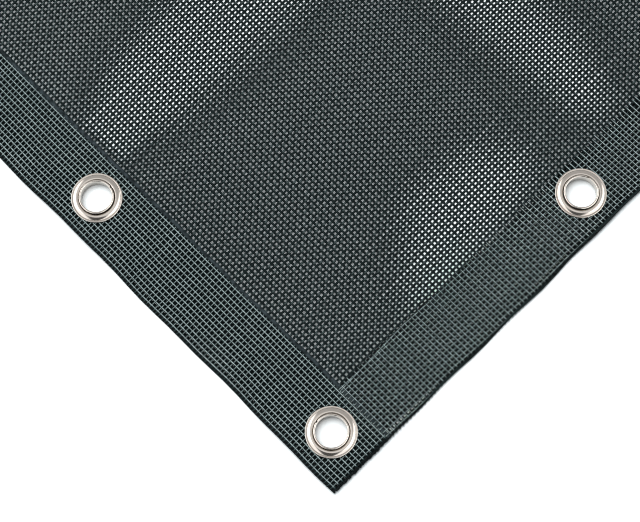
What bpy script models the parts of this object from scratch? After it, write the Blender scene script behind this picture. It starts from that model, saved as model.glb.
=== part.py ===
"""Mesh tarpaulin with turned hems and metal eyelets, laid out flat. Blender 4.5, metres, +Z up.

The origin is on the surface that the tarpaulin lies on, under its middle. X runs along the front
and back hems and Y along the left and right hems. The left and right hems run through the corners,
and the front and back hems end against them.
"""

import math

import bmesh
import bpy

# Eyelets: bore, spacing along each side, and how far their centres lie from the cloth's edges
BORE_RADIUS = 0.0080
SPACINGS_A_SIDE = 3
SPACING_X = 0.178
SPACING_Y = 0.171
INSET = 0.020
CORNER_INSET_Y = 0.0225

# Cloth: outline, width of each hem, thickness of one layer and of the turned hem
WIDTH = 2 * INSET + SPACINGS_A_SIDE * SPACING_X
DEPTH = 2 * CORNER_INSET_Y + SPACINGS_A_SIDE * SPACING_Y
SIDE_HEM = 0.039
END_HEM = 0.0365
LAYER = 0.0010
HEM_THICKNESS = 0.0022
FOLD_ROUNDING = 0.0007
GAP = 0.0003

# Eyelet body: a flat flange below the hem, a barrel through it and a rim curled over the washer
BARREL_WALL = 0.0005
FLANGE_RADIUS = 0.0130
FLANGE_THICKNESS = 0.0008
EDGE_ROUNDING = 0.0003
CURL_RADIUS = 0.0092
CURL_DEPTH = 0.0009
WASHER_RADIUS = 0.01325
WASHER_RISE = 0.0018
WASHER_SHEET = 0.0006
RING_STEPS = 20

# Heights that follow from the pieces stacked at an eyelet
SEAT_RISE = FLANGE_THICKNESS + GAP
HEM_TOP = SEAT_RISE + HEM_THICKNESS
WASHER_FOOT = HEM_TOP + GAP
WASHER_TOP = WASHER_FOOT + WASHER_RISE
CURL_FOOT = WASHER_TOP + GAP
CURL_TOP = CURL_FOOT + CURL_DEPTH

# How the cloth lies: lifted off the surface, but for the hollows where it touches
LIFT = 0.0046
LIFT_WAVE = 0.0009
LIFT_WAVE_LENGTH = 0.190
SEAT_FLAT = 0.022
SEAT_FADE = 0.026
HEM_LEAN = 0.42
FIELD_MARGIN = 0.016
PANEL_FADE = 0.008

# Hollows, measured from the front left corner: both ends of the middle line, the half width that
# touches the surface at each end, and the width over which the cloth rises beside it
HOLLOW_COLUMNS = ("x0", "y0", "x1", "y1", "half0", "half1", "side")
HOLLOWS = (
    (0.034, 0.214, 0.100, 0.221, 0.010, 0.022, 0.018),
    (0.100, 0.221, 0.190, 0.236, 0.022, 0.026, 0.020),
    (0.190, 0.236, 0.300, 0.286, 0.026, 0.012, 0.026),
    (0.240, 0.046, 0.243, 0.105, 0.004, 0.010, 0.014),
    (0.243, 0.105, 0.262, 0.190, 0.010, 0.014, 0.018),
    (0.104, 0.040, 0.150, 0.046, 0.003, 0.013, 0.016),
    (0.150, 0.046, 0.176, 0.058, 0.012, 0.003, 0.012),
    (0.330, 0.110, 0.452, 0.066, 0.016, 0.010, 0.026),
    (0.452, 0.066, 0.536, 0.060, 0.010, 0.006, 0.020),
    (0.395, 0.205, 0.470, 0.268, 0.008, 0.018, 0.024),
    (0.470, 0.268, 0.540, 0.290, 0.018, 0.010, 0.020),
    (0.052, 0.372, 0.140, 0.356, 0.009, 0.018, 0.024),
    (0.140, 0.356, 0.205, 0.398, 0.018, 0.010, 0.026),
    (0.120, 0.500, 0.215, 0.478, 0.012, 0.018, 0.020),
    (0.300, 0.420, 0.345, 0.520, 0.012, 0.016, 0.024),
    (0.430, 0.388, 0.500, 0.470, 0.014, 0.011, 0.024),
)

# Grid that each sheet is built on
PANEL_CELL = 0.0175
HEM_CELL = 0.020
HEM_CELLS_ACROSS = 3

MATERIALS = {
    "mesh": ((0.035, 0.050, 0.050), 0.55, 0.0),
    "hem": ((0.045, 0.062, 0.063), 0.50, 0.0),
    "eyelet": ((0.62, 0.60, 0.57), 0.28, 1.0),
    "washer": ((0.66, 0.64, 0.61), 0.24, 1.0),
}


def clear_scene():
    """Remove the objects that a new scene holds."""
    for obj in list(bpy.data.objects):
        bpy.data.objects.remove(obj, do_unlink=True)


def new_collection(name):
    collection = bpy.data.collections.new(name)
    bpy.context.scene.collection.children.link(collection)
    return collection


def finish(name):
    """The named finish, made once."""
    material = bpy.data.materials.get(name)
    if material is None:
        color, roughness, metallic = MATERIALS[name]
        material = bpy.data.materials.new(name)
        material.use_nodes = True
        shader = material.node_tree.nodes["Principled BSDF"]
        shader.inputs["Base Color"].default_value = (*color, 1.0)
        shader.inputs["Roughness"].default_value = roughness
        shader.inputs["Metallic"].default_value = metallic
    return material


def ease(value):
    """0 to 1 with level ends, clamped."""
    value = min(max(value, 0.0), 1.0)
    return value * value * (3.0 - 2.0 * value)


def mix(first, second, share):
    return first + (second - first) * share


def eyelet_places():
    """Name and centre of each eyelet, by the hem that holds it."""
    places = []
    left, right = INSET, WIDTH - INSET
    for step in range(SPACINGS_A_SIDE + 1):
        y = CORNER_INSET_Y + step * SPACING_Y
        places.append(("left", left, y))
        places.append(("right", right, y))
    for step in range(1, SPACINGS_A_SIDE):
        x = INSET + step * SPACING_X
        places.append(("front", x, INSET))
        places.append(("back", x, DEPTH - INSET))
    return [(hem, x - WIDTH / 2, y - DEPTH / 2) for hem, x, y in places]


EYELETS = eyelet_places()


def hollow_share(x, y, hollow):
    """1 where this hollow touches the surface, 0 where the cloth beside it is free."""
    row = dict(zip(HOLLOW_COLUMNS, hollow))
    along_x, along_y = row["x1"] - row["x0"], row["y1"] - row["y0"]
    reach_x, reach_y = x + WIDTH / 2 - row["x0"], y + DEPTH / 2 - row["y0"]
    share = (reach_x * along_x + reach_y * along_y) / (along_x**2 + along_y**2)
    share = min(max(share, 0.0), 1.0)
    distance = math.hypot(reach_x - share * along_x, reach_y - share * along_y)
    half = mix(row["half0"], row["half1"], share)
    return 1.0 - ease((distance - half) / row["side"])


def field_rise(x, y):
    """Height of the cloth's underside away from its hems."""
    wave = math.sin(2 * math.pi * x / LIFT_WAVE_LENGTH) * math.cos(2 * math.pi * y / LIFT_WAVE_LENGTH)
    rise = LIFT + LIFT_WAVE * wave
    for hollow in HOLLOWS:
        rise *= 1.0 - hollow_share(x, y, hollow)
    return rise


def nearest_field(x, y):
    """The point of the field, a little inside the hems, that lies nearest."""
    half_x = WIDTH / 2 - SIDE_HEM - FIELD_MARGIN
    half_y = DEPTH / 2 - END_HEM - FIELD_MARGIN
    return min(max(x, -half_x), half_x), min(max(y, -half_y), half_y)


def hem_rise(x, y):
    """Height of the hem's underside: level at each eyelet, and leaning up towards lifted cloth."""
    across_x = (WIDTH / 2 - abs(x)) / SIDE_HEM
    across_y = (DEPTH / 2 - abs(y)) / END_HEM
    across = min(max(min(across_x, across_y), 0.0), 1.0)
    loose = HEM_LEAN * across * across * field_rise(*nearest_field(x, y))
    nearest = min(math.hypot(x - ex, y - ey) for _, ex, ey in EYELETS)
    return mix(SEAT_RISE, loose, ease((nearest - SEAT_FLAT) / SEAT_FADE))


def panel_rise(x, y):
    """Height of the panel's underside: the middle of the hem's thickness at its edge, then the field."""
    inside_x = WIDTH / 2 - SIDE_HEM - abs(x)
    inside_y = DEPTH / 2 - END_HEM - abs(y)
    edge = hem_rise(x, y) + (HEM_THICKNESS - LAYER) / 2
    return mix(edge, field_rise(x, y), ease(min(inside_x, inside_y) / PANEL_FADE))


def laid_sheet(name, low, high, cell, rise, thickness, material, collection):
    """A sheet over the rectangle from low to high, its underside at the height that rise gives."""
    size_x, size_y = high[0] - low[0], high[1] - low[1]
    cells_x = max(HEM_CELLS_ACROSS, round(size_x / cell))
    cells_y = max(HEM_CELLS_ACROSS, round(size_y / cell))
    bpy.ops.mesh.primitive_grid_add(x_subdivisions=cells_x, y_subdivisions=cells_y, size=1.0)
    sheet = bpy.context.object
    sheet.name = name
    sheet.data.name = name
    for vertex in sheet.data.vertices:
        x = low[0] + (vertex.co.x + 0.5) * size_x
        y = low[1] + (vertex.co.y + 0.5) * size_y
        vertex.co = (x, y, rise(x, y))
    solid = sheet.modifiers.new("thickness", "SOLIDIFY")
    solid.thickness = thickness
    solid.offset = 1.0
    sheet.data.materials.append(finish(material))
    move_to(sheet, collection)
    return sheet


def move_to(obj, collection):
    for holder in list(obj.users_collection):
        holder.objects.unlink(obj)
    collection.objects.link(obj)


def round_edges(sheet):
    """Round the fold and the cut edges of a hem."""
    bevel = sheet.modifiers.new("fold", "BEVEL")
    bevel.width = FOLD_ROUNDING
    bevel.segments = 2
    bevel.limit_method = "ANGLE"
    bevel.angle_limit = math.radians(50)


def punch(sheet, index, x, y, cutters):
    """Cut the round hole that an eyelet's barrel passes through."""
    radius = BORE_RADIUS + BARREL_WALL + GAP
    mesh = bpy.data.meshes.new(f"punch_{index:02d}")
    shape = bmesh.new()
    bmesh.ops.create_cone(
        shape, cap_ends=True, segments=RING_STEPS, radius1=radius, radius2=radius, depth=4 * CURL_TOP
    )
    shape.to_mesh(mesh)
    shape.free()
    cutter = bpy.data.objects.new(mesh.name, mesh)
    cutter.location = (x, y, HEM_TOP)
    cutter.hide_render = True
    cutter.display_type = "WIRE"
    cutters.objects.link(cutter)
    hole = sheet.modifiers.new(mesh.name, "BOOLEAN")
    hole.operation = "DIFFERENCE"
    hole.object = cutter


def turned(name, profile, material, collection):
    """A ring turned about Z from a closed profile of (radius, height) points."""
    mesh = bpy.data.meshes.new(name)
    shape = bmesh.new()
    points = [shape.verts.new((radius, 0.0, height)) for radius, height in profile]
    for index, point in enumerate(points):
        shape.edges.new((point, points[(index + 1) % len(points)]))
    shape.to_mesh(mesh)
    shape.free()
    mesh.materials.append(finish(material))
    ring = bpy.data.objects.new(name, mesh)
    collection.objects.link(ring)
    screw = ring.modifiers.new("turn", "SCREW")
    screw.steps = RING_STEPS
    screw.render_steps = RING_STEPS
    screw.use_merge_vertices = True
    screw.merge_threshold = 0.0001
    screw.use_smooth_shade = True
    return ring


def eyelet_profile():
    """Curled rim, barrel and flange, running down the outer side and up the bore."""
    barrel = BORE_RADIUS + BARREL_WALL
    curl_middle = (CURL_RADIUS + BORE_RADIUS) / 2
    return [
        (curl_middle, CURL_TOP),
        (CURL_RADIUS, CURL_FOOT + CURL_DEPTH / 2),
        (CURL_RADIUS - EDGE_ROUNDING, CURL_FOOT),
        (barrel, CURL_FOOT),
        (barrel, FLANGE_THICKNESS),
        (FLANGE_RADIUS, FLANGE_THICKNESS),
        (FLANGE_RADIUS, EDGE_ROUNDING),
        (FLANGE_RADIUS - EDGE_ROUNDING, 0.0),
        (BORE_RADIUS + EDGE_ROUNDING, 0.0),
        (BORE_RADIUS, EDGE_ROUNDING),
        (BORE_RADIUS, CURL_FOOT + CURL_DEPTH / 2),
    ]


def washer_profile():
    """A domed ring: flat foot at its outer edge, crown near the rim, hollow below."""
    inner = BORE_RADIUS + BARREL_WALL + GAP
    crown_in = mix(inner, WASHER_RADIUS, 0.25)
    crown_out = mix(inner, WASHER_RADIUS, 0.65)
    return [
        (inner, WASHER_TOP - WASHER_SHEET / 2),
        (crown_in, WASHER_TOP),
        (crown_out, WASHER_TOP - WASHER_SHEET / 2),
        (WASHER_RADIUS, WASHER_FOOT + WASHER_SHEET),
        (WASHER_RADIUS, WASHER_FOOT),
        (inner, WASHER_FOOT),
    ]


def build_panel(collection):
    """The single layer of mesh between the hems."""
    half_x = WIDTH / 2 - SIDE_HEM - GAP
    half_y = DEPTH / 2 - END_HEM - GAP
    laid_sheet(
        "mesh_panel", (-half_x, -half_y), (half_x, half_y), PANEL_CELL, panel_rise, LAYER, "mesh", collection
    )


def build_hems(collection, cutters):
    """Four turned hems, each with a hole for every eyelet that it holds."""
    half_x, half_y = WIDTH / 2, DEPTH / 2
    end_x = half_x - SIDE_HEM - GAP
    outlines = {
        "left": ((-half_x, -half_y), (-half_x + SIDE_HEM, half_y)),
        "right": ((half_x - SIDE_HEM, -half_y), (half_x, half_y)),
        "front": ((-end_x, -half_y), (end_x, -half_y + END_HEM)),
        "back": ((-end_x, half_y - END_HEM), (end_x, half_y)),
    }
    for side, (low, high) in outlines.items():
        hem = laid_sheet(
            f"hem_{side}", low, high, HEM_CELL, hem_rise, HEM_THICKNESS, "hem", collection
        )
        round_edges(hem)
        for index, (holder, x, y) in enumerate(EYELETS, start=1):
            if holder == side:
                punch(hem, index, x, y, cutters)


def build_eyelets(collection):
    """An eyelet and its washer at each place, each hung from an empty at the bore's foot."""
    for index, (_, x, y) in enumerate(EYELETS, start=1):
        place = bpy.data.objects.new(f"place_{index:02d}", None)
        place.location = (x, y, 0.0)
        collection.objects.link(place)
        for ring in (
            turned(f"eyelet_{index:02d}", eyelet_profile(), "eyelet", collection),
            turned(f"washer_{index:02d}", washer_profile(), "washer", collection),
        ):
            ring.parent = place


def main():
    clear_scene()
    parts = new_collection("mesh_tarpaulin")
    cutters = new_collection("cutters")
    build_panel(parts)
    build_hems(parts, cutters)
    build_eyelets(parts)


main()
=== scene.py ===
"""Looks of the mesh tarpaulin: coated open net, turned hems, nickel eyelets and washers."""

import math

import bpy
import numpy as np
from mathutils import Matrix, Vector


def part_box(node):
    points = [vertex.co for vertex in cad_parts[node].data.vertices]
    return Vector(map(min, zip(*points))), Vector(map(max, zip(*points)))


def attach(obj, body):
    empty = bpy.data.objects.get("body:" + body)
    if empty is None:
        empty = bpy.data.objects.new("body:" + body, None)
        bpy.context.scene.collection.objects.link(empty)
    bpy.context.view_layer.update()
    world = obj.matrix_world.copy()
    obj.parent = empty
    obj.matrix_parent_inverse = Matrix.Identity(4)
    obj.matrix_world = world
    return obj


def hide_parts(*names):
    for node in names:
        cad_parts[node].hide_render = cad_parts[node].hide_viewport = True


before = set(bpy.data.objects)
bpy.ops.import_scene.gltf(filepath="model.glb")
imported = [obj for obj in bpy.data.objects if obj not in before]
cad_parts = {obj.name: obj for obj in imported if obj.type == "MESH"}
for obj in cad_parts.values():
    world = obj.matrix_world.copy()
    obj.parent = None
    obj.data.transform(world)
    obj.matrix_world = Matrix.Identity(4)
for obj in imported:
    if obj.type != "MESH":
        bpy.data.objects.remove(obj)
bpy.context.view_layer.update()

# Outline of the cloth and of each hem, as the solids have it
LEFT_LOW, LEFT_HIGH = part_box("hem_left")
FRONT_LOW, FRONT_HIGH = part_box("hem_front")
HALF_X = round(-LEFT_LOW.x, 4)
HALF_Y = round(-FRONT_LOW.y, 4)
SIDE_HEM = 0.0390
END_HEM = 0.0365
HEM_THICKNESS = 0.0022
PANEL_THICKNESS = 0.0010
EYELET_COUNT = 12


def middle(node):
    low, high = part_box(node)
    return (low + high) / 2


PLACES = [middle(f"eyelet_{index:02d}") for index in range(1, EYELET_COUNT + 1)]

# Weave: distance between yarns, the coated yarn's own width and height, and what share of that width
# the hems' crossing yarns and each set of the net's yarns have
PITCH_X = 0.00252
PITCH_Y = 0.00221
YARN_WIDTH = 0.00120
YARN_HEIGHT = 0.00060
THIN_YARN = 0.74
NET_LONG = 1.05
NET_CROSS = 0.66
CROSSING_RISE = 0.00016
YARN_CLEAR = 0.00004
YARN_STEP = 0.0110
TUCK = 0.0045
SLIDE_MOST = 0.0045

# How the cloth lies: how high it stands where it is free, how its hems stand at and between the eyelets,
# and the hollows, where it touches the surface. A hollow is a line from (x0, y0) to (x1, y1), counted
# from the near corner, with half its width at each end and the distance over which the cloth rises
LIFT = 0.0054
LIFT_WAVE = 0.0009
LIFT_WAVE_LENGTH = 0.190
SEAT_RISE = 0.0011
SEAT_FLAT = 0.022
SEAT_FADE = 0.026
HEM_LEAN = 0.42
FIELD_MARGIN = 0.016
PANEL_FADE = 0.006
BLEND = 8.0
FREE_LEAST = 0.001
HOLLOW_COLUMNS = ("x0", "y0", "x1", "y1", "half0", "half1", "side")
HOLLOWS = (
    (0.036, 0.213, 0.080, 0.219, 0.003, 0.009, 0.052),
    (0.080, 0.219, 0.118, 0.222, 0.009, 0.010, 0.072),
    (0.118, 0.222, 0.160, 0.220, 0.010, 0.010, 0.072),
    (0.160, 0.220, 0.236, 0.222, 0.010, 0.010, 0.066),
    (0.236, 0.222, 0.300, 0.286, 0.010, 0.008, 0.060),
    (0.262, 0.190, 0.246, 0.171, 0.010, 0.008, 0.060),
    (0.246, 0.171, 0.243, 0.120, 0.008, 0.004, 0.070),
    (0.243, 0.120, 0.243, 0.082, 0.004, 0.001, 0.070),
    (0.243, 0.082, 0.240, 0.055, 0.001, 0.000, 0.055),
    (0.110, 0.038, 0.140, 0.055, 0.000, 0.009, 0.078),
    (0.140, 0.055, 0.166, 0.056, 0.010, 0.007, 0.078),
    (0.166, 0.056, 0.179, 0.053, 0.007, 0.000, 0.060),
    (0.330, 0.110, 0.452, 0.066, 0.012, 0.006, 0.052),
    (0.452, 0.066, 0.536, 0.060, 0.006, 0.002, 0.044),
    (0.395, 0.205, 0.470, 0.268, 0.005, 0.014, 0.048),
    (0.470, 0.268, 0.540, 0.290, 0.014, 0.006, 0.042),
    (0.052, 0.372, 0.140, 0.356, 0.005, 0.014, 0.048),
    (0.140, 0.356, 0.205, 0.398, 0.014, 0.006, 0.050),
    (0.120, 0.500, 0.215, 0.478, 0.008, 0.014, 0.042),
    (0.300, 0.420, 0.345, 0.520, 0.008, 0.012, 0.048),
    (0.430, 0.388, 0.500, 0.470, 0.010, 0.007, 0.048),
)


def ease(value):
    """0 to 1 with level ends, clamped."""
    value = np.clip(value, 0.0, 1.0)
    return value * value * (3.0 - 2.0 * value)


def mix(first, second, share):
    return first + (second - first) * share


def free_share(x, y, hollow):
    """0 where this hollow touches the surface, and up to 1 where the cloth beside it is free."""
    row = dict(zip(HOLLOW_COLUMNS, hollow))
    along_x, along_y = row["x1"] - row["x0"], row["y1"] - row["y0"]
    reach_x, reach_y = x + HALF_X - row["x0"], y + HALF_Y - row["y0"]
    share = (reach_x * along_x + reach_y * along_y) / (along_x**2 + along_y**2)
    share = np.clip(share, 0.0, 1.0)
    distance = np.hypot(reach_x - share * along_x, reach_y - share * along_y)
    half = mix(row["half0"], row["half1"], share)
    away = np.clip((distance - half) / row["side"], 0.0, 1.0)
    return away**2 * (2.0 - away**2)


def field_rise(x, y):
    """Height of the cloth's underside away from its hems."""
    wave = np.sin(2 * math.pi * x / LIFT_WAVE_LENGTH) * np.cos(2 * math.pi * y / LIFT_WAVE_LENGTH)
    free = [np.maximum(free_share(x, y, hollow), FREE_LEAST) ** -BLEND for hollow in HOLLOWS]
    return (LIFT + LIFT_WAVE * wave) * (np.sum(free, axis=0) ** (-1.0 / BLEND) - FREE_LEAST)


def hem_rise(x, y):
    """Height of a hem's underside: level at each eyelet, and leaning up towards lifted cloth."""
    across_x = (HALF_X - np.abs(x)) / SIDE_HEM
    across_y = (HALF_Y - np.abs(y)) / END_HEM
    across = np.clip(np.minimum(across_x, across_y), 0.0, 1.0)
    limit_x = HALF_X - SIDE_HEM - FIELD_MARGIN
    limit_y = HALF_Y - END_HEM - FIELD_MARGIN
    inner = field_rise(np.clip(x, -limit_x, limit_x), np.clip(y, -limit_y, limit_y))
    loose = HEM_LEAN * across * across * inner
    nearest = np.min([np.hypot(x - place.x, y - place.y) for place in PLACES], axis=0)
    return mix(SEAT_RISE, loose, ease((nearest - SEAT_FLAT) / SEAT_FADE))


def panel_rise(x, y):
    """Height of the net's underside: inside the hem at its edge, then the field."""
    inside_x = HALF_X - SIDE_HEM - np.abs(x)
    inside_y = HALF_Y - END_HEM - np.abs(y)
    edge = hem_rise(x, y) + (HEM_THICKNESS - PANEL_THICKNESS) / 2
    return mix(edge, field_rise(x, y), ease(np.minimum(inside_x, inside_y) / PANEL_FADE))


class Wire:
    """A shader socket that takes part in arithmetic: each operation adds a Math node."""

    def __init__(self, finish, socket):
        self.finish = finish
        self.socket = socket

    def math(self, operation, *values):
        return self.finish.node("ShaderNodeMath", {"operation": operation}, *values)[0]

    def __add__(self, other):
        return self.math("ADD", self, other)

    def __radd__(self, other):
        return self.math("ADD", other, self)

    def __sub__(self, other):
        return self.math("SUBTRACT", self, other)

    def __rsub__(self, other):
        return self.math("SUBTRACT", other, self)

    def __mul__(self, other):
        return self.math("MULTIPLY", self, other)

    def __rmul__(self, other):
        return self.math("MULTIPLY", other, self)

    def clamped(self):
        return self.math("MINIMUM", self.math("MAXIMUM", self, 0.0), 1.0)

    def sine(self):
        return self.math("SINE", self)

    def step(self, low, high):
        """0 below low, 1 above high, smooth between."""
        settings = {"interpolation_type": "SMOOTHSTEP"}
        return self.finish.node("ShaderNodeMapRange", settings, self, low, high, 0.0, 1.0)[0]


class Board:
    """A tree of shader nodes, with one way to add a node and to join its sockets."""

    def __init__(self, tree):
        self.tree = tree

    def node(self, kind, settings=None, *values, **named):
        """Any node: its settings first, then its sockets in order or by name. Gives its outputs."""
        made = self.tree.nodes.new(kind)
        for key, value in (settings or {}).items():
            setattr(made, key, value)
        for index, value in enumerate(values):
            self.join(made.inputs[index], value)
        for key, value in named.items():
            self.join(made.inputs[key.replace("_", " ")], value)
        return [Wire(self, output) for output in made.outputs]

    def join(self, socket, value):
        if isinstance(value, Wire):
            self.tree.links.new(value.socket, socket)
        elif value is not None:
            socket.default_value = value

    def mixed(self, share, first, second):
        """Two colours, by a share that varies."""
        made = self.tree.nodes.new("ShaderNodeMix")
        made.data_type = "RGBA"
        self.join(made.inputs[0], share)
        self.join(made.inputs[6], self.colour(first))
        self.join(made.inputs[7], self.colour(second))
        return Wire(self, made.outputs[2])

    def colour(self, value):
        return value if isinstance(value, Wire) else (*value, 1.0)

    def split(self, vector):
        return self.node("ShaderNodeSeparateXYZ", None, vector)[:3]


class Finish(Board):
    """A material on a Principled shader, whose constants are set on the shader's own sockets."""

    def __init__(self, name, **constants):
        self.material = bpy.data.materials.new(name)
        self.material.use_nodes = True
        super().__init__(self.material.node_tree)
        self.shader = self.tree.nodes["Principled BSDF"]
        for socket, value in constants.items():
            self.shader.inputs[socket.replace("_", " ")].default_value = value

    def place(self):
        return self.node("ShaderNodeTexCoord")[3]

    def facing(self):
        """How far the surface faces up, from the piece's own normals."""
        return self.split(self.node("ShaderNodeTexCoord")[1])[2]

    def noise(self, scale, detail):
        return self.node("ShaderNodeTexNoise", None, Vector=self.place(), Scale=scale, Detail=detail)[0]

    def carried(self, name, settled="Vector"):
        """A value that the piece's own points carry."""
        outputs = self.node("ShaderNodeAttribute", {"attribute_name": name})
        return outputs[1] if settled == "Vector" else outputs[2]

    def bump(self, height, depth, strength):
        made = self.node("ShaderNodeBump", None, Height=height, Distance=depth, Strength=strength)
        self.join(self.shader.inputs["Normal"], made[0])

    def feed(self, socket, value):
        self.join(self.shader.inputs[socket], value)


# Darkest and lightest coating on the cloth's face, painted highlight on the face's raised crossings, and
# coating on the back
FACE_TONES = ((0.0022, 0.0044, 0.0048), (0.0115, 0.0190, 0.0200))
KNOT_HIGHLIGHT_TONES = ((0.040, 0.054, 0.055), (0.066, 0.084, 0.085))
BACK_TONES = ((0.010, 0.019, 0.020), (0.032, 0.050, 0.051))


def toned(tones, share):
    """Two colours, both taken down to a share of their brightness."""
    return [tuple(share * channel for channel in colour) for colour in tones]


def yarn_finish(name, highlight_low, highlight_high, roughness, face_shade=1.0, back_tone=1.0):
    """Coated yarn: near black on the cloth's face, grey green on its back, with painted highlights on its
    crests and crossings.

    Each point carries its place in the weave, and +1 where the back of the cloth faces up.
    """
    finish = Finish(name, Roughness=roughness, Specular_IOR_Level=0.10)
    column, row, lengthwise = finish.split(finish.carried("weave"))
    side = finish.facing() * finish.carried("reverse", "Fac")
    over = (column * math.pi).sine() * (row * math.pi).sine() * (2.0 * lengthwise - 1.0)
    cloudy = finish.noise(11.0, 3.0)
    streak = finish.noise(30.0, 4.0)
    fleck = finish.noise(520.0, 1.0)
    # On the hems the face and crossing colours are taken down: painted shade on their lower layers, under
    # the top layer
    face = finish.mixed(fleck, *toned(FACE_TONES, face_shade))
    knot_highlight = finish.mixed(cloudy, *toned(KNOT_HIGHLIGHT_TONES, face_shade))
    # Painted highlight where a yarn lies over at a crossing, mostly on the crossing yarns
    knot_highlight_share = over.step(0.1, 0.9) * (1.0 - 0.85 * lengthwise) * (0.3 + fleck)
    face = finish.mixed(knot_highlight_share.clamped(), face, knot_highlight)
    back = finish.mixed(fleck, *toned(BACK_TONES, back_tone))
    # Painted highlight: a pale colour along the upward crests of the back, stronger where the yarn lies
    # over at a crossing
    pale = finish.mixed(streak, highlight_low, highlight_high)
    crest = side.step(0.78, 0.99) * (0.50 + 0.32 * lengthwise + 0.22 * over) * (0.22 + 1.40 * fleck)
    back = finish.mixed(crest.clamped(), back, pale)
    finish.feed("Base Color", finish.mixed(side.step(0.0, 0.45), face, back))
    finish.bump(over, 0.00025, 0.5)
    return finish.material


def bead_finish():
    """Cloth melted into a smooth line along the inner fold."""
    finish = Finish("weld_line", Roughness=0.48, Specular_IOR_Level=0.2)
    cloudy = finish.noise(420.0, 3.0)
    speckled = finish.mixed(cloudy.step(0.3, 0.7), (0.003, 0.006, 0.007), (0.036, 0.047, 0.053))
    finish.feed("Base Color", speckled)
    finish.bump(cloudy, 0.0005, 0.9)
    return finish.material


def nickel_finish(name, tint, roughness, steep):
    """Nickel plate with smudges and fine uneven gloss, and steep faces darkened by that share as painted
    shade.
    """
    finish = Finish(name, Metallic=1.0)
    smudge = finish.noise(260.0, 4.0)
    cloud = finish.noise(70.0, 2.0)
    warm = tuple(channel * shade for channel, shade in zip(tint, (0.93, 0.90, 0.86)))
    steep_shade_colour = tuple(channel * (1.0 - steep) for channel in warm)
    # Painted shade: steep faces, such as the inside of the barrel and the sides of the curl, take a darker
    # colour
    level = finish.facing().step(0.10, 0.62)
    finish.feed("Base Color", finish.mixed(level, steep_shade_colour, finish.mixed(smudge, tint, warm)))
    finish.feed("Roughness", (roughness + 0.14 * cloud * smudge).clamped())
    finish.bump(cloud, 0.00003, 0.15)
    return finish.material


def floor_finish():
    """Plain white board."""
    finish = Finish("white_board", Roughness=0.85, Specular_IOR_Level=0.1)
    finish.shader.inputs["Base Color"].default_value = (0.93, 0.93, 0.935, 1.0)
    return finish.material


class Skein:
    """Yarns of one piece as open lines. Each point has its place in the weave and its girth."""

    def __init__(self):
        self.points = []
        self.weave = []
        self.girth = []
        self.reverse = []
        self.edges = []
        self.count = 0

    def lay(self, points, weave, girth, reverse):
        """Rows of points, one row a yarn, with the values that each point carries."""
        yarns, steps = points.shape[:2]
        start = self.count + np.arange(yarns)[:, None] * steps + np.arange(steps - 1)[None, :]
        self.edges.append(np.stack([start, start + 1], axis=-1).reshape(-1, 2))
        self.points.append(points.reshape(-1, 3))
        self.weave.append(np.broadcast_to(weave, points.shape).reshape(-1, 3))
        self.girth.append(np.broadcast_to(girth, points.shape[:2]).reshape(-1))
        self.reverse.append(np.broadcast_to(reverse, points.shape[:2]).reshape(-1))
        self.count += yarns * steps

    def wind(self, name):
        """The lines as a mesh of edges, with their values as attributes."""
        mesh = bpy.data.meshes.new(name)
        points = np.concatenate(self.points)
        edges = np.concatenate(self.edges)
        mesh.vertices.add(len(points))
        mesh.vertices.foreach_set("co", points.astype(np.float32).ravel())
        mesh.edges.add(len(edges))
        mesh.edges.foreach_set("vertices", edges.astype(np.int32).ravel())
        weave = mesh.attributes.new("weave", "FLOAT_VECTOR", "POINT")
        weave.data.foreach_set("vector", np.concatenate(self.weave).astype(np.float32).ravel())
        for label, values in (("girth", self.girth), ("reverse", self.reverse)):
            carried = mesh.attributes.new(label, "FLOAT", "POINT")
            carried.data.foreach_set("value", np.concatenate(values).astype(np.float32))
        mesh.update()
        obj = bpy.data.objects.new(name, mesh)
        bpy.context.scene.collection.objects.link(obj)
        return obj


class Tree:
    """A Geometry Nodes tree with named inputs."""

    def __init__(self, name, inputs):
        self.group = bpy.data.node_groups.new(name, "GeometryNodeTree")
        face = self.group.interface
        face.new_socket("Geometry", in_out="INPUT", socket_type="NodeSocketGeometry")
        face.new_socket("Geometry", in_out="OUTPUT", socket_type="NodeSocketGeometry")
        self.names = {}
        for label, kind in inputs.items():
            self.names[label] = face.new_socket(label, in_out="INPUT", socket_type=kind).identifier
        self.start = self.group.nodes.new("NodeGroupInput")
        self.end = self.group.nodes.new("NodeGroupOutput")

    def node(self, kind, settings=None, **named):
        made = self.group.nodes.new(kind)
        for key, value in (settings or {}).items():
            setattr(made, key, value)
        for key, value in named.items():
            socket = made.inputs[key.replace("_", " ")]
            if isinstance(value, bpy.types.NodeSocket):
                self.group.links.new(value, socket)
            else:
                socket.default_value = value
        return made.outputs

    def given(self, label):
        return self.start.outputs[label]

    def done(self, geometry, material):
        """Every tree ends alike: real geometry, then its material."""
        real = self.node("GeometryNodeRealizeInstances", Geometry=geometry)[0]
        dressed = self.node("GeometryNodeSetMaterial", Geometry=real, Material=material)[0]
        self.group.links.new(dressed, self.end.inputs[0])

    def grow(self, obj, values):
        """Run the tree on an object, and leave its result as a plain mesh of that name."""
        modifier = obj.modifiers.new(self.group.name, "NODES")
        modifier.node_group = self.group
        for label, value in values.items():
            modifier[self.names[label]] = value
        graph = bpy.context.evaluated_depsgraph_get()
        mesh = bpy.data.meshes.new_from_object(obj.evaluated_get(graph))
        name = obj.name
        bpy.data.objects.remove(obj)
        mesh.name = name
        made = bpy.data.objects.new(name, mesh)
        bpy.context.scene.collection.objects.link(made)
        return made


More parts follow.
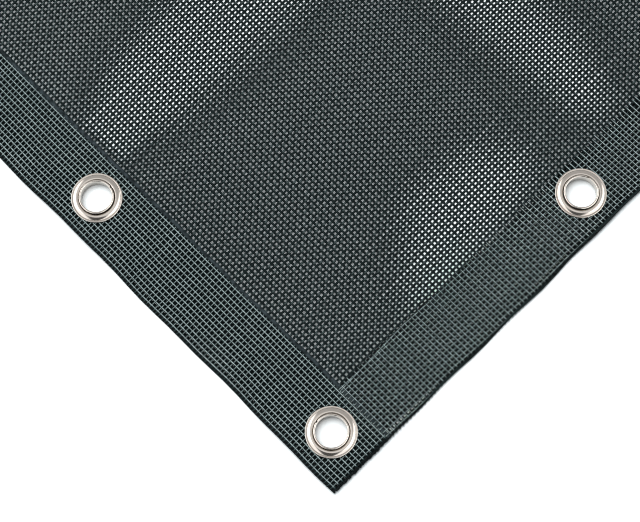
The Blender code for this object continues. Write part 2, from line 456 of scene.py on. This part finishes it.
def yarn_tree():
    """Sweeps a flattened round section along every line, wider or thinner by its girth."""
    inputs = {
        "Width": "NodeSocketFloat",
        "Height": "NodeSocketFloat",
        "Sides": "NodeSocketInt",
        "Material": "NodeSocketMaterial",
    }
    tree = Tree("coated_yarn", inputs)
    line = tree.node("GeometryNodeMeshToCurve", Mesh=tree.given("Geometry"))[0]
    girth = tree.node("GeometryNodeInputNamedAttribute", {"data_type": "FLOAT"}, Name="girth")[0]
    line = tree.node("GeometryNodeSetCurveRadius", Curve=line, Radius=girth)[0]
    ring = tree.node(
        "GeometryNodeCurvePrimitiveCircle", {"mode": "RADIUS"}, Resolution=tree.given("Sides"), Radius=0.5
    )[0]
    size = tree.node("ShaderNodeCombineXYZ", X=tree.given("Width"), Y=tree.given("Height"), Z=1.0)[0]
    ring = tree.node("GeometryNodeTransform", Geometry=ring, Scale=size)[0]
    swept = tree.node("GeometryNodeCurveToMesh", Curve=line, Profile_Curve=ring, Fill_Caps=True)[0]
    smooth = tree.node("GeometryNodeSetShadeSmooth", Geometry=swept)[0]
    tree.done(smooth, tree.given("Material"))
    return tree


YARN_TREE = yarn_tree()


def spin_yarns(skein, name, material, width=YARN_WIDTH, height=YARN_HEIGHT, sides=4):
    values = {"Width": width, "Height": height, "Sides": sides, "Material": material}
    return YARN_TREE.grow(skein.wind(name), values)


def drift(x, y):
    """How far the weave has slid from a true square, in the plane of the cloth."""
    slide_x = 0.0006 * np.sin(11.0 * y + 5.0 * x + 1.1) + 0.0002 * np.sin(29.0 * y - 14.0 * x)
    slide_y = 0.0036 * np.sin(7.6 * x + 1.35) + 0.0005 * np.sin(27.0 * x + 19.0 * y)
    return slide_x, slide_y


def net_stations(reach):
    """Places along a yarn of the net, with more of them where it comes out of the hems."""
    even = np.linspace(-reach, reach, round(2 * reach / YARN_STEP) + 1)
    edge = reach - TUCK - np.array([0.0008, PANEL_FADE])
    return np.sort(np.concatenate([even, edge, -edge]))[None, :]


def net_skein(rng):
    """Both sets of yarns of the single layer, out to where they are caught in the hems."""
    skein = Skein()
    reach_x = HALF_X - SIDE_HEM + TUCK
    reach_y = HALF_Y - END_HEM + TUCK
    base = YARN_HEIGHT / 2 + YARN_CLEAR
    most_x = math.floor((reach_x + SLIDE_MOST / 2) / PITCH_X)
    most_y = math.floor((reach_y + SLIDE_MOST) / PITCH_Y)
    columns = np.arange(-most_x, most_x + 1)
    rows = np.arange(-most_y, most_y + 1)

    y = net_stations(reach_y)
    x = columns[:, None] * PITCH_X + rng.normal(0, 0.00007, (len(columns), 1)) + 0 * y
    y = y + 0 * x
    shift_x, shift_y = drift(x, y)
    x, y = x + shift_x, y + shift_y
    z = panel_rise(x, y) + base
    weave = np.stack([columns[:, None] + 0.5 + 0 * y, y / PITCH_Y + 0.5, 1.0 + 0 * y], axis=-1)
    girth = NET_LONG * (1.0 + rng.normal(0, 0.035, (len(columns), 1)) + rng.normal(0, 0.02, x.shape))
    skein.lay(np.stack([x, y, z], axis=-1), weave, girth, -1.0)

    x = net_stations(reach_x)
    y = rows[:, None] * PITCH_Y + rng.normal(0, 0.00007, (len(rows), 1)) + 0 * x
    x = x + 0 * y
    shift_x, shift_y = drift(x, y)
    x, y = x + shift_x, y + shift_y
    z = panel_rise(x, y) + base + CROSSING_RISE
    weave = np.stack([x / PITCH_X + 0.5, rows[:, None] + 0.5 + 0 * x, 0.0 * x], axis=-1)
    girth = NET_CROSS * (1.0 + rng.normal(0, 0.035, (len(rows), 1)) + rng.normal(0, 0.02, x.shape))
    skein.lay(np.stack([x, y, z], axis=-1), weave, girth, -1.0)
    return skein


def build_net(rng):
    """The single layer of open net."""
    # The two colours after the name are the painted crest highlight, which on the net falls on the yarns'
    # undersides
    material = yarn_finish("net_yarn", (0.080, 0.120, 0.124), (0.130, 0.190, 0.192), 0.55)
    net = spin_yarns(net_skein(rng), "net", material)
    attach(net, "root")
    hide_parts("mesh_panel")
    return net


# Turned hems: their section, how far yarns stay from cut ends and bores, and how the yarns sway
FOLD_REACH = 0.0020
SECTION_STEP = 0.0060
HEM_STEP = 0.0100
EDGE_STEP = 0.0030
BORE_CLEAR = 0.0098
CUT_ROUGH = 0.0007
FRONT_TUCK = 0.0012
END_CLEAR = 0.0004
END_DIP = 0.0022
LOWER_SPREAD = 0.28
SWAY_RATE = 9.0


def turned_section(width, welded):
    """The hem's cloth in section: rows of distance from the edge, height and which side is up.

    It runs under the hem to the outer fold, back over the top to the inner edge, and from there back
    out between the two. The last number is +1 where its back faces up. Along a welded edge the
    inner fold is soft, and otherwise the cloth ends there in cut yarns over a loose layer.
    """
    low = YARN_HEIGHT / 2 + 0.00008
    top = HEM_THICKNESS - YARN_HEIGHT / 2 - 0.0001
    centre, half = (low + top) / 2, (top - low) / 2
    inner = width - (0.0011 if welded else 0.0006)

    def run(start, end, height, side):
        count = max(2, round(abs(end - start) / SECTION_STEP))
        return [(distance, height, side) for distance in np.linspace(start, end, count + 1)]

    def turn(distance, height, reach, depth, begin, end, count):
        rows = []
        for degrees in np.linspace(begin, end, count + 1)[1:-1]:
            angle = math.radians(degrees)
            side = math.sin(angle)
            rows.append((distance + reach * math.cos(angle), height + depth * math.sin(angle), side))
        return rows

    points = run(width - 0.001, FOLD_REACH, low, -1.0)
    points += turn(FOLD_REACH, centre, FOLD_REACH, half, 270, 90, 8)
    points += run(FOLD_REACH, inner, top, 1.0)
    points += turn(inner, top - half / 2, 0.0007 if welded else 0.0002, half / 2, 90, -90, 4)
    points += run(inner, 0.004, centre, -1.0)
    return np.array(points)


def arc_lengths(section):
    steps = np.hypot(*np.diff(section[:, :2], axis=0).T)
    return np.concatenate([[0.0], np.cumsum(steps)])


class Hem:
    """One hem: where it lies, and which way its section runs in from the outer edge.

    lean is how far its yarns stray from the line of the hem, as slopes along and across it.
    """

    def __init__(self, side, low, high, width, welded, lean):
        self.side = side
        self.low = low
        self.high = high
        self.width = width
        self.welded = welded
        self.lean_along, self.lean_across = lean
        self.along_y = side in ("left", "right")
        self.sign = 1.0 if side in ("left", "front") else -1.0
        self.section = turned_section(width, welded)
        self.lengths = arc_lengths(self.section)

    def world(self, distance, along, height):
        """Places from the distance in from the outer edge, the place along it and the height."""
        wander = 0.00030 * np.sin(61.0 * along + 1.3) + 0.00022 * np.sin(147.0 * along)
        inward = distance + wander * (1.0 - distance / self.width)
        if self.along_y:
            x, y = -self.sign * (HALF_X - inward), along + 0 * inward
        else:
            x, y = along + 0 * inward, -self.sign * (HALF_Y - inward)
        return np.stack([x, y, hem_rise(x, y) + height], axis=-1)

    def crossing_yarns(self, skein, rng):
        """Yarns that cross the hem and go round its folds."""
        pitch = PITCH_Y if self.along_y else PITCH_X
        first = math.ceil((self.low + 0.0006) / pitch)
        last = math.floor((self.high - 0.0006) / pitch)
        lift = 0.0 if self.along_y else CROSSING_RISE
        for place in range(first, last + 1):
            line = self.section.copy()
            if not self.welded:
                rough = rng.uniform(-CUT_ROUGH, CUT_ROUGH)
                line[:, 0] += np.where(line[:, 0] > self.width - 0.003, rough, 0)
            lean = self.lean_across * (0.4 + 0.6 * math.sin(SWAY_RATE * place * pitch + 2.17))
            buried = 0.5 * (1.0 - line[:, 1] / line[:, 1].max())
            slant = lean * (line[:, 0] - self.width / 2)
            along = place * pitch + rng.normal(0, 0.00013) + slant + pitch * buried
            along = np.clip(along, self.low + END_CLEAR, self.high - END_CLEAR)
            points = self.world(line[:, 0], along, line[:, 1] + lift * self.outward(line[:, 2]))
            self.lay_yarn(skein, rng, points, self.lengths, place, line[:, 2], not self.along_y)

    def lengthwise_yarns(self, skein, rng):
        """Yarns that run along the hem, a pitch apart round the section, and may run off its end."""
        pitch = PITCH_X if self.along_y else PITCH_Y
        lift = CROSSING_RISE if self.along_y else 0.0
        steps = round((self.high - self.low) / HEM_STEP)
        dips = [self.low + END_DIP, self.high - END_DIP]
        along = np.sort(np.concatenate([np.linspace(self.low, self.high, steps + 1), dips]))
        stray = self.lean_along / SWAY_RATE * np.sin(SWAY_RATE * along + 1.6)
        stray += 0.00035 * np.sin(17.0 * along)
        total = self.lengths[-1]
        first = math.floor(-np.ptp(stray) / pitch)
        last = math.ceil((total + np.ptp(stray)) / pitch)
        for number in range(first, last + 1):
            reach = self.in_register(number * pitch, pitch, stray) + rng.normal(0, 0.00006)
            inside = (reach > END_CLEAR) & (reach < total)
            if inside.sum() < 3:
                continue
            distance, height, side = (
                np.interp(reach[inside], self.lengths, self.section[:, column]) for column in range(3)
            )
            points = self.world(distance, along[inside], height + lift * self.outward(side))
            if self.along_y:
                points[[0, -1], 2] -= 0.3 * height[[0, -1]]
                side[[0, -1]] = -1.0
            self.lay_yarn(skein, rng, points, along[inside], number, side, self.along_y)

    def in_register(self, reach, pitch, stray):
        """Follow the stray in each layer, with the lower layers' yarns under the top's holes."""
        if np.interp(reach, self.lengths, self.section[:, 2]) > -0.5:
            return reach + stray
        first_up = np.argmax(self.section[:, 2] > 0.99)
        hole = FOLD_REACH - self.lengths[first_up] + pitch / 2
        off = hole - np.interp(reach, self.lengths, self.section[:, 0])
        return reach - stray - ((off + pitch / 2) % pitch - pitch / 2)

    def edge_yarns(self, skein, rng):
        """Yarns pressed together round the outer fold and, on the long hems, round the cut ends."""
        steps = round((self.high - self.low) / EDGE_STEP)
        along = np.linspace(self.low + END_CLEAR, self.high - END_CLEAR, steps)
        for distance, height in ((0.0008, 0.0009), (0.0014, 0.0014), (0.0019, 0.0009)):
            sway = 0.00012 * np.sin(210.0 * along + 3000.0 * distance) + rng.normal(0, 0.00005, len(along))
            points = self.world(distance + sway, along, height + 0 * along)
            self.lay_yarn(skein, rng, points, along, 0, -1.0 + 0 * along, True)
        if not self.along_y:
            return
        across = np.arange(0.0012, self.width + 0.001, 0.0009)
        for end, inward in ((self.low, 1.0), (self.high, -1.0)):
            for reach, height in ((0.0006, 0.0008), (0.0013, 0.0014)):
                rough = rng.uniform(-0.00055, 0.00055, len(across))
                points = self.world(across, end + inward * (reach + rough), height + 0.4 * rough)
                self.lay_yarn(skein, rng, points, across, 0, -1.0 + 0 * across, True)

    def outward(self, side):
        """How a crest's extra rise goes: outwards on top, and little below so as to stay in the hem."""
        return np.where(side > 0, side, 0.4 * side)

    def lay_yarn(self, skein, rng, points, reach, number, side, along_y):
        """Lay one yarn, cut where it meets the bore of an eyelet."""
        share = 1.0 if along_y else THIN_YARN
        girth = share * (1.0 + rng.normal(0, 0.03) + LOWER_SPREAD * (side < -0.9))
        if along_y:
            weave = [number + 0.5 + 0 * reach, reach / PITCH_Y + 0.5, 1.0 + 0 * reach]
        else:
            weave = [reach / PITCH_X + 0.5, number + 0.5 + 0 * reach, 0 * reach]
        line = np.concatenate([points, np.stack(weave, axis=-1), side[:, None]], axis=1)
        for run in cut_at_bores(np.concatenate([line, girth[:, None]], axis=1)):
            skein.lay(run[None, :, :3], run[None, :, 3:6], run[None, :, 7], run[None, :, 6])

    def build(self, rng, material):
        skein = Skein()
        self.crossing_yarns(skein, rng)
        self.lengthwise_yarns(skein, rng)
        self.edge_yarns(skein, rng)
        hem = spin_yarns(skein, f"turned_hem_{self.side}", material)
        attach(hem, "root")
        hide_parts(f"hem_{self.side}")
        return hem


NEAR_BORE = 0.020


def bore_distance(points):
    """Distance of each point to the axis of its nearest eyelet."""
    return np.min([np.hypot(points[:, 0] - place.x, points[:, 1] - place.y) for place in PLACES], axis=0)


def cut_at_bores(line):
    """The stretches of one yarn that lie outside every bore."""
    if bore_distance(line).min() > NEAR_BORE:
        return [line]
    shares = [0.0]
    near = bore_distance(line) < NEAR_BORE
    for index in range(len(line) - 1):
        pieces = 16 if near[index] or near[index + 1] else 1
        shares += [index + (step + 1) / pieces for step in range(pieces)]
    fine = np.stack([np.interp(shares, range(len(line)), column) for column in line.T], axis=1)
    free = bore_distance(fine) > BORE_CLEAR
    if free.all():
        return [line]
    runs, start = [], None
    for index, outside in enumerate([*free, False]):
        if outside and start is None:
            start = index
        if not outside and start is not None:
            if index - start > 1:
                runs.append(thinned(fine[start:index], np.array(shares[start:index])))
            start = None
    return runs


def thinned(run, shares):
    """Keep the ends of a stretch and the points that the yarn had before it was cut up."""
    keep = np.isclose(shares, np.round(shares))
    keep[[0, -1]] = True
    return run[keep]


def build_hems(rng):
    end_x = HALF_X - SIDE_HEM + FRONT_TUCK
    # The number after the roughness takes the face colours down: painted shade on the hems' lower layers
    # The two colours after each name are the painted crest highlight on the hems' top layer
    side_yarn = yarn_finish("hem_yarn", (0.250, 0.300, 0.298), (0.470, 0.530, 0.524), 0.42, 0.45)
    end_yarn = yarn_finish("end_hem_yarn", (0.290, 0.350, 0.353), (0.530, 0.600, 0.600), 0.42, 0.25, 0.50)
    hems = [
        Hem("left", -HALF_Y, HALF_Y, SIDE_HEM, True, (0.004, 0.016)),
        Hem("right", -HALF_Y, HALF_Y, SIDE_HEM, True, (0.006, 0.014)),
        Hem("front", -end_x, end_x, END_HEM, False, (-0.036, -0.035)),
        Hem("back", -end_x, end_x, END_HEM, False, (0.030, -0.024)),
    ]
    return [(hem, hem.build(rng, side_yarn if hem.along_y else end_yarn)) for hem in hems]


BEAD_WIDTH = 0.0021
BEAD_HEIGHT = 0.0010
BEAD_SIDES = 10
BEAD_DEPTH = 0.00078


def build_beads(hems):
    """The smooth welded band along the inner fold of the long hems."""
    material = bead_finish()
    for hem, _ in hems:
        if not hem.welded:
            continue
        skein = Skein()
        along = np.linspace(hem.low + 0.0008, hem.high - 0.0008, 360)
        wobble = 0.00018 * np.sin(190.0 * along) + 0.00022 * np.sin(47.0 * along)
        points = hem.world(hem.width + 0.0001 + wobble, along, HEM_THICKNESS - BEAD_DEPTH + 0 * along)
        girth = 1.0 + 0.16 * np.sin(260.0 * along) + 0.14 * np.sin(37.0 * along)
        skein.lay(points[None], np.zeros(3), girth[None], -1.0)
        bead = spin_yarns(skein, f"fold_line_{hem.side}", material, BEAD_WIDTH, BEAD_HEIGHT, BEAD_SIDES)
        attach(bead, "root")


def lathe(name, profile, steps, dent=None):
    """A closed profile of (radius, height) points turned about Z. A dent may move each point."""
    angles = np.linspace(0, 2 * math.pi, steps, endpoint=False)
    points, faces = [], []
    count = len(profile)
    for angle in angles:
        for index, (radius, height) in enumerate(profile):
            if dent:
                radius, height = dent(angle, index, radius, height)
            points.append((radius * math.cos(angle), radius * math.sin(angle), height))
    for step in range(steps):
        for index in range(count):
            here, there = step * count, (step + 1) % steps * count
            after = (index + 1) % count
            faces.append((here + index, here + after, there + after, there + index))
    mesh = bpy.data.meshes.new(name)
    mesh.from_pydata(points, [], faces)
    mesh.update()
    mesh.shade_smooth()
    mesh.set_sharp_from_angle(angle=math.radians(50))
    obj = bpy.data.objects.new(name, mesh)
    bpy.context.scene.collection.objects.link(obj)
    return obj


def arc(radius, height, size, begin, end, count):
    """Points on a round stretch of a profile."""
    return [
        (radius + size * math.cos(math.radians(angle)), height + size * math.sin(math.radians(angle)))
        for angle in np.linspace(begin, end, count)
    ]


RING_STEPS = 96
BORE_RADIUS = 0.0080
SHEET = 0.0005


def eyelet_rim():
    """Flange, barrel and curled rim with the small split that setting leaves in it."""
    low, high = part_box("eyelet_01")
    curl = 0.00051
    barrel = BORE_RADIUS + SHEET
    flange = (high.x - low.x) / 2
    top = high.z
    profile = arc(BORE_RADIUS + 0.00004 + curl, top - curl, curl, 180, -50, 12)
    profile += [(barrel + 0.0001, top - 2 * curl - 0.0002), (barrel, top - 2 * curl - 0.0007)]
    profile += [(barrel, 0.0012), (barrel + 0.0004, 0.0008)]
    profile += [(flange - 0.0003, 0.0008), (flange, 0.0005), (flange - 0.0002, 0.0001)]
    profile += [(flange - 0.0006, 0.0), (BORE_RADIUS + 0.0010, 0.0), (BORE_RADIUS + 0.0002, 0.0004)]
    profile += [(BORE_RADIUS, 0.0012), (BORE_RADIUS, 0.0034)]

    def split(angle, index, radius, height):
        """Nick through the outer part of the curl at angle 0, and a slightly uneven lip."""
        if len(profile) - 1 - index > 12:
            return radius, height
        turn = math.atan2(math.sin(angle), math.cos(angle))
        nick = math.exp(-((turn / 0.055) ** 4))
        outer = min(1.0, max(0.0, (radius - BORE_RADIUS - 0.45 * curl) / (1.2 * curl)))
        uneven = 0.00003 * math.sin(5 * angle) + 0.00002 * math.sin(13 * angle)
        return radius - 0.00035 * nick * outer + uneven, height - 0.00085 * nick * outer + uneven

    return lathe("rim_form", profile[::-1], RING_STEPS, split)


def washer_dome():
    """Domed ring with a fine groove inside its rounded outer lip."""
    low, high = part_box("washer_01")
    outer = (high.x - low.x) / 2
    foot, top = low.z, high.z
    inner = BORE_RADIUS + SHEET + 0.0004
    start = 0.00920
    crown = 0.0102
    groove = outer - 0.00100
    edge_height = foot + 0.00085
    profile = [(inner, foot + 0.0006), (inner + 0.0001, top - 0.00095), (start - 0.00010, top - 0.00060)]
    for share in np.linspace(0.0, 1.0, 11):
        radius = mix(start, groove - 0.00012, share)
        if radius > crown:
            height = top - (top - edge_height - 0.0001) * ((radius - crown) / (groove - crown)) ** 1.7
        else:
            height = top - 0.00034 * ((crown - radius) / (crown - start)) ** 2.0
        profile.append((radius, height))
    profile += [(groove, edge_height - 0.00014), (groove + 0.00014, edge_height - 0.00008)]
    profile += arc(outer - 0.00034, edge_height - 0.00034, 0.00034, 100, 0, 7)
    profile += [(outer, foot + 0.0002), (outer - 0.0002, foot), (outer - 0.0009, foot + 0.0001)]
    profile += [(crown, top - 0.0006), (inner + 0.0005, foot + 0.0004)]
    return lathe("dome_form", profile[::-1], RING_STEPS)


def place_tree():
    """Puts one form on every point, turned by that point's own angle."""
    inputs = {"Form": "NodeSocketObject", "Material": "NodeSocketMaterial"}
    tree = Tree("set_in_place", inputs)
    form = tree.node("GeometryNodeObjectInfo", Object=tree.given("Form"))
    turn = tree.node("GeometryNodeInputNamedAttribute", {"data_type": "FLOAT"}, Name="turn")[0]
    spin = tree.node("ShaderNodeCombineXYZ", X=0.0, Y=0.0, Z=turn)[0]
    points = tree.node("GeometryNodeMeshToPoints", Mesh=tree.given("Geometry"))[0]
    set_forms = tree.node(
        "GeometryNodeInstanceOnPoints", Points=points, Instance=form["Geometry"], Rotation=spin
    )[0]
    tree.done(set_forms, tree.given("Material"))
    return tree


# Angle of the split in each curled rim, in degrees from +X; the two that the photo shows come first
RIM_TURNS = {1: 100.0, 3: -8.0}


def build_rings():
    """Twelve eyelets and twelve washers, each set as one piece."""
    tree = place_tree()
    rim, dome = eyelet_rim(), washer_dome()
    finishes = {
        # The last number is how far painted shade darkens the steep faces
        "eyelets": nickel_finish("nickel_rim", (0.90, 0.86, 0.82), 0.12, 0.42),
        "washers": nickel_finish("nickel_washer", (0.87, 0.83, 0.79), 0.12, 0.10),
    }
    for name, form, node in (("eyelets", rim, "eyelet"), ("washers", dome, "washer")):
        mesh = bpy.data.meshes.new(name)
        mesh.from_pydata([(place.x, place.y, 0.0) for place in PLACES], [], [])
        turns = mesh.attributes.new("turn", "FLOAT", "POINT")
        for index in range(EYELET_COUNT):
            degrees = RIM_TURNS.get(index + 1, 137.5 * index)
            turns.data[index].value = math.radians(degrees)
        holder = bpy.data.objects.new(name, mesh)
        bpy.context.scene.collection.objects.link(holder)
        ring = tree.grow(holder, {"Form": form, "Material": finishes[name]})
        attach(ring, "root")
        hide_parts(*[f"{node}_{index:02d}" for index in range(1, EYELET_COUNT + 1)])
    for form in (rim, dome):
        bpy.data.objects.remove(form)


def build_floor():
    """Plain white board that the cloth lies on."""
    bpy.ops.mesh.primitive_grid_add(x_subdivisions=2, y_subdivisions=2, size=8.0)
    board = bpy.context.object
    board.name = "board"
    board.data.transform(Matrix.Translation((0, 0, -0.00005)))
    board.data.materials.append(floor_finish())


# Camera, fitted to the eyelets and edges in the 640 x 522 photo
PHOTO_WIDTH = 640
FOCAL_PIXELS = 1900.0
AIM_FROM_CORNER = (0.0785, 0.0896)
DISTANCE = 0.9715
AZIMUTH = -43.01
ELEVATION = 76.0
ROLL = -1.77


def picture_axes():
    """Right, up and back of the picture, in the part's own directions."""
    azimuth, elevation, roll = (math.radians(angle) for angle in (AZIMUTH, ELEVATION, ROLL))
    back = Vector((math.sin(azimuth), -math.cos(azimuth), 0)) * math.cos(elevation)
    back.z = math.sin(elevation)
    right = Vector((math.cos(azimuth), math.sin(azimuth), 0))
    up = back.cross(right)
    return right * math.cos(roll) + up * math.sin(roll), up * math.cos(roll) - right * math.sin(roll), back


def build_camera():
    """Almost straight above the near corner, turned so that the corner points down."""
    right, up, back = picture_axes()
    aim = Vector((AIM_FROM_CORNER[0] - HALF_X, AIM_FROM_CORNER[1] - HALF_Y, 0.0))
    data = bpy.data.cameras.new("camera")
    data.sensor_width = 36.0
    data.lens = data.sensor_width * FOCAL_PIXELS / PHOTO_WIDTH
    camera = bpy.data.objects.new("camera", data)
    axes = Matrix((right, up, back)).transposed()
    camera.matrix_world = Matrix.Translation(aim + back * DISTANCE) @ axes.to_4x4()
    bpy.context.scene.collection.objects.link(camera)
    bpy.context.scene.camera = camera


def add_softbox(name, place, aim, size, power, colour):
    data = bpy.data.lights.new(name, "AREA")
    data.shape = "SQUARE"
    data.size = size
    data.energy = power
    data.color = colour
    light = bpy.data.objects.new(name, data)
    light.location = place
    light.rotation_euler = (Vector(aim) - Vector(place)).to_track_quat("-Z", "Y").to_euler()
    light.visible_glossy = False
    bpy.context.scene.collection.objects.link(light)


SOFTBOX_PLACE = (-0.20, 0.42, 2.1)
SOFTBOX_AIM = (-0.15, -0.10, 0.0)
SOFTBOX_SIZE = 1.5
SOFTBOX_WATTS = 59.0
SOFTBOX_TINT = (0.945, 1.0, 1.012)
ROOM_LIGHT = 0.28
ROOM_TINT = (0.89, 0.970, 1.00)
METAL_TINT = (0.985, 0.965, 0.945)
FILTER_PIXELS = 1.0


def build_light():
    """A large softbox above the photo's upper left, and a room with pale walls that the metal reflects."""
    add_softbox("overhead", SOFTBOX_PLACE, SOFTBOX_AIM, SOFTBOX_SIZE, SOFTBOX_WATTS, SOFTBOX_TINT)
    world = bpy.data.worlds.new("room")
    world.use_nodes = True
    bpy.context.scene.world = world
    board = Board(world.node_tree)
    right, up, _ = picture_axes()
    right, up = Vector((right.x, right.y, 0)).normalized(), Vector((up.x, up.y, 0)).normalized()
    toward = board.node("ShaderNodeTexCoord")[0]

    def lean(across, along):
        """How far a direction leans towards this side of the picture."""
        side = (right * across + up * along).normalized()
        return board.node("ShaderNodeVectorMath", {"operation": "DOT_PRODUCT"}, toward, side)[1]

    left_wall = lean(-1.0, -0.10).step(0.38, 0.56)
    right_wall = lean(0.90, -0.42).step(0.42, 0.58)
    dark_near = lean(-0.24, -1.0).step(0.27, 0.43)
    grey_far = lean(0.45, 0.90).step(0.10, 0.50)
    zenith = board.split(toward)[2].step(0.95, 0.995)
    seen = 0.66 - 0.24 * grey_far + 0.16 * zenith
    seen = seen * (1.0 - 0.88 * dark_near) + 1.1 * left_wall + 1.1 * right_wall
    is_glossy = board.node("ShaderNodeLightPath")[3]
    strength = ROOM_LIGHT + is_glossy * (seen - ROOM_LIGHT)
    background = world.node_tree.nodes["Background"]
    board.join(background.inputs["Color"], board.mixed(is_glossy, ROOM_TINT, METAL_TINT))
    board.join(background.inputs["Strength"], strength)
    bpy.context.scene.cycles.filter_width = FILTER_PIXELS
    view = bpy.context.scene.view_settings
    view.view_transform = "Standard"
    view.look = "None"


def main():
    rng = np.random.default_rng(7)
    build_camera()
    build_floor()
    build_light()
    net = build_net(rng)
    hems = build_hems(rng)
    build_beads(hems)
    build_rings()


main()
